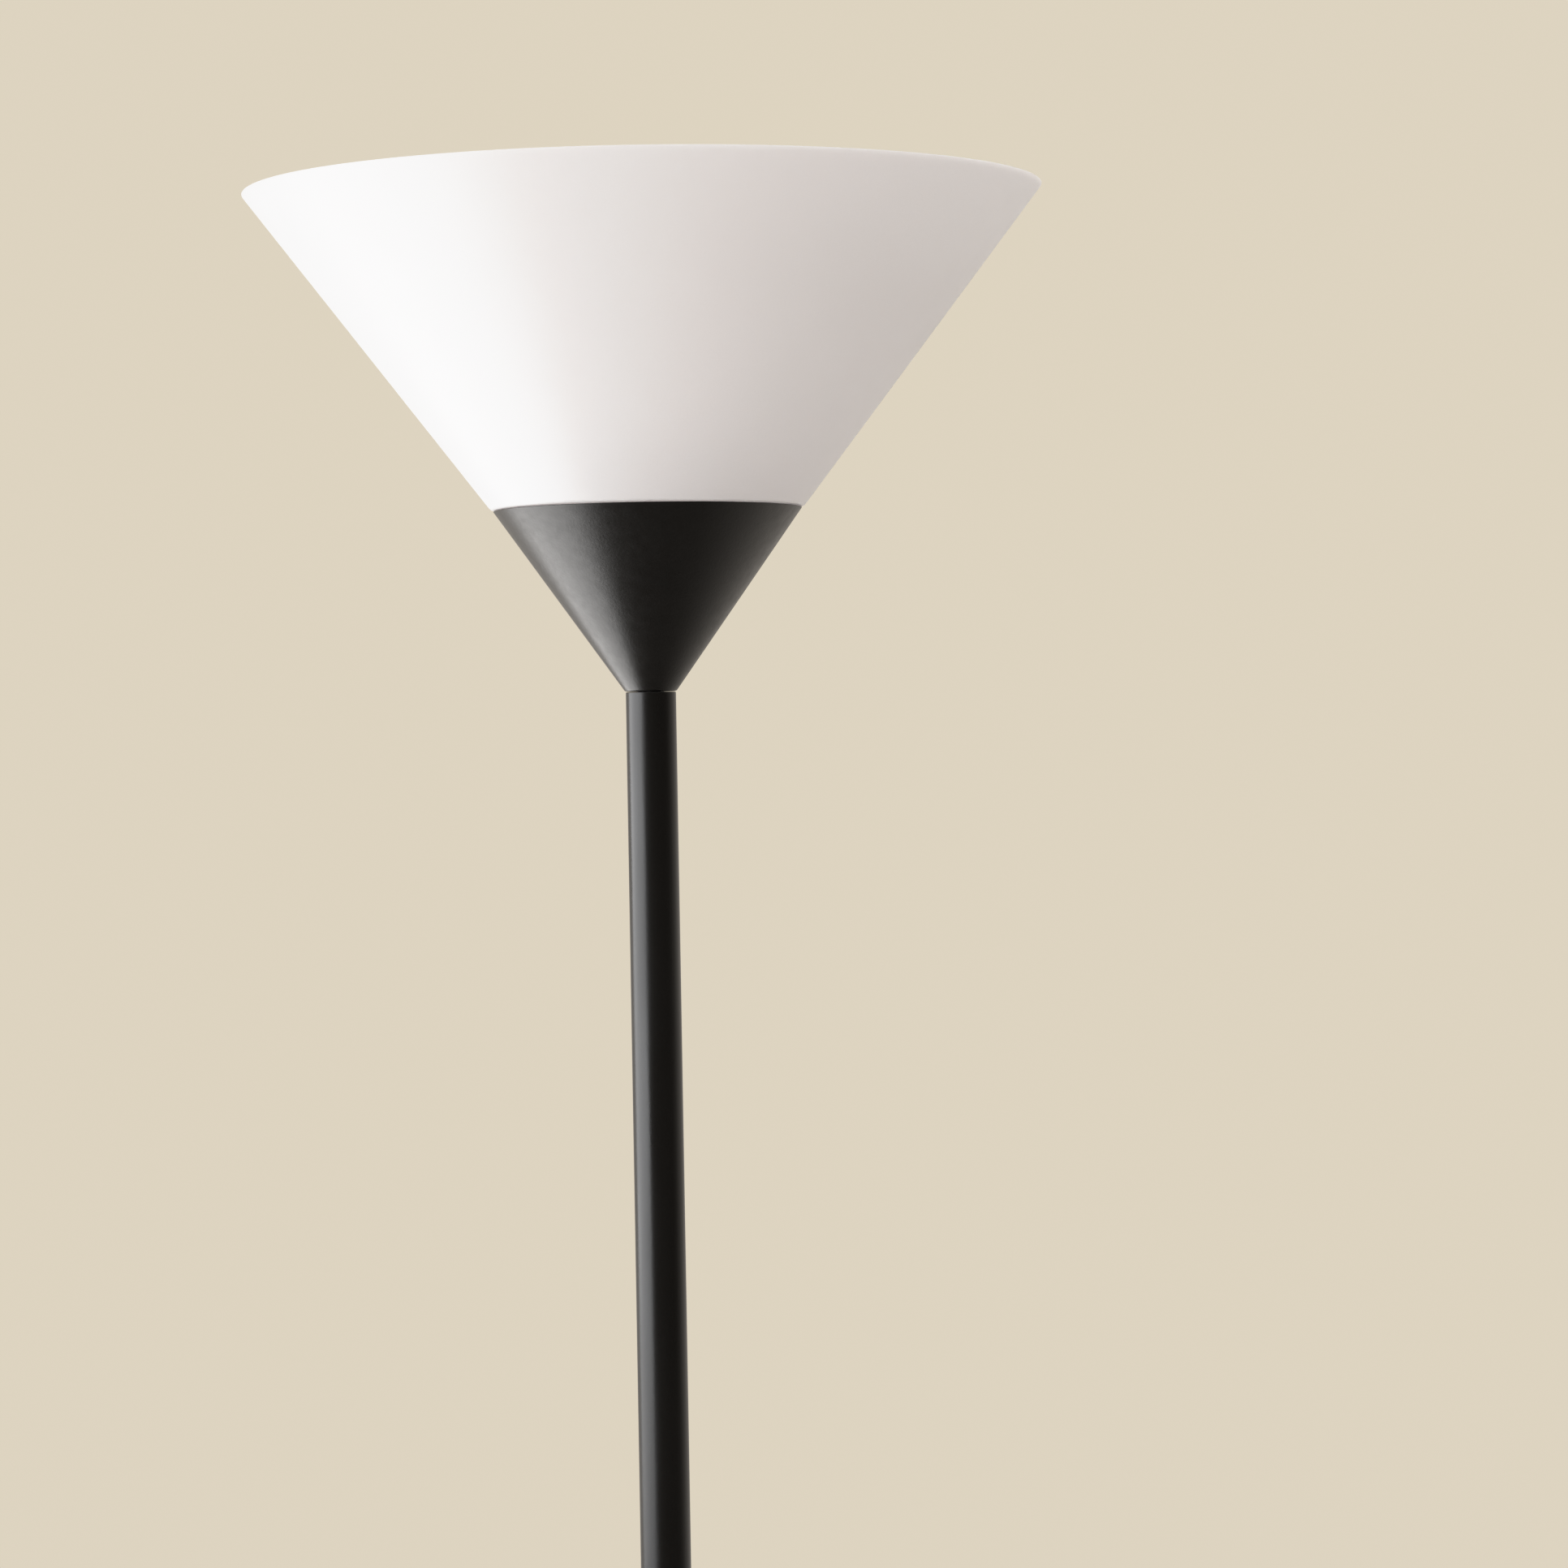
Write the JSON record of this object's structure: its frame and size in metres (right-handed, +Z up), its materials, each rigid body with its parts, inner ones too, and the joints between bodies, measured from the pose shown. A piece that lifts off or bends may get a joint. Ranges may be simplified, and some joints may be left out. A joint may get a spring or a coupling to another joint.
{
  "type": "torchiere floor lamp",
  "caption": "Torchiere floor lamp with a conical opal shade that opens upwards, a conical metal cup, a slim round pole with a rotary switch, and a weighted round base.",
  "frame": {"origin": "centre of the base on the floor", "axes": "+Z up along the pole, -Y towards the switch knob, +Y towards the cord gland"},
  "size_m": [0.302, 0.302, 1.8],
  "materials": {
    "satin_black": "satin black powder coat",
    "gloss_black": "semi-gloss black paint",
    "black_plastic": "matt moulded",
    "opal_shade": "opal, silky",
    "opal_bulb": "opal, satin",
    "white_plastic": "satin moulded",
    "zinc_steel": "zinc plated",
    "brass": "bright drawn",
    "nickel": "nickel plated",
    "porcelain": "semi-matt porcelain",
    "concrete": "rough cast",
    "rubber": "matt",
    "wire_brown": "satin sleeve",
    "wire_white": "satin sleeve"
  },
  "bodies": {
    "lamp": {"base_cover": "satin_black", "base_weight": "concrete", "base_plate": "black_plastic", "base_washer": "zinc_steel", "base_nut": "zinc_steel", "base_nipple": "zinc_steel", "foot_pad_1": "rubber", "foot_pad_2": "rubber", "foot_pad_3": "rubber", "foot_pad_4": "rubber", "cord_gland": "rubber", "pole_section_1": "gloss_black", "pole_section_1_bush": "zinc_steel", "pole_section_1_stud": "zinc_steel", "pole_section_2": "gloss_black", "pole_section_2_bush": "zinc_steel", "pole_section_2_stud": "zinc_steel", "pole_section_3": "gloss_black", "pole_section_3_bush": "zinc_steel", "pole_section_3_stud": "zinc_steel", "pole_top_section": "gloss_black", "pole_top_lower_bush": "zinc_steel", "pole_top_upper_bush": "zinc_steel", "switch_case_front": "black_plastic", "switch_case_back": "black_plastic", "case_screw_left": "zinc_steel", "case_screw_right": "zinc_steel", "switch_frame": "zinc_steel", "frame_upper_nut": "zinc_steel", "frame_lower_nut": "zinc_steel", "frame_nipple": "zinc_steel", "switch_body": "black_plastic", "switch_bushing": "brass", "switch_ring_nut": "nickel", "switch_terminal_left": "brass", "switch_terminal_right": "brass", "cup": "satin_black", "head_nipple": "zinc_steel", "head_washer": "zinc_steel", "head_nut": "zinc_steel", "holder_cap": "black_plastic", "holder_body": "black_plastic", "holder_insert": "porcelain", "holder_screw_shell": "brass", "holder_terminal_left": "brass", "holder_terminal_right": "brass", "holder_tongue_rivet": "brass", "lead_live": "wire_brown", "lead_neutral": "wire_white"},
    "knob": {"switch_knob": "black_plastic", "switch_shaft": "nickel"},
    "contact_tongue": {"holder_contact_tongue": "brass"},
    "bulb_carrier": {"bulb_tip": "nickel"},
    "bulb": {"bulb_insulator": "black_plastic", "bulb_screw_cap": "nickel", "bulb_body": "white_plastic", "bulb_led_plate": "white_plastic", "bulb_diffuser": "opal_bulb"},
    "shade": {"shade": "opal_shade"}
  },
  "joints": [
    {"name": "knob_turn", "type": "hinge", "parent": "lamp", "child": "knob", "pos_m": [0, 0, 1.1864], "axis": [0, -1, 0], "continuous": true},
    {"name": "tongue_press", "type": "hinge", "parent": "lamp", "child": "contact_tongue", "pos_m": [-0.0066, 0, 1.64553], "axis": [0, 1, 0], "range_deg": [0, 5], "stiffness_Nm_per_rad": 0.3},
    {"name": "bulb_rise", "type": "slide", "parent": "lamp", "child": "bulb_carrier", "axis": [0, 0, 1], "range_m": [0, 0.0145]},
    {"name": "bulb_turn", "type": "hinge", "parent": "bulb_carrier", "child": "bulb", "pos_m": [0, 0, 1.7], "axis": [0, 0, 1], "range_deg": [0, 1440]},
    {"name": "shade_lift", "type": "slide", "parent": "lamp", "child": "shade", "axis": [0, 0, 1], "range_m": [0, 0.14]}
  ],
  "couplings": [
    {"joint": "bulb_turn", "follows": "bulb_rise", "rad_per_m": 1731.6}
  ]
}
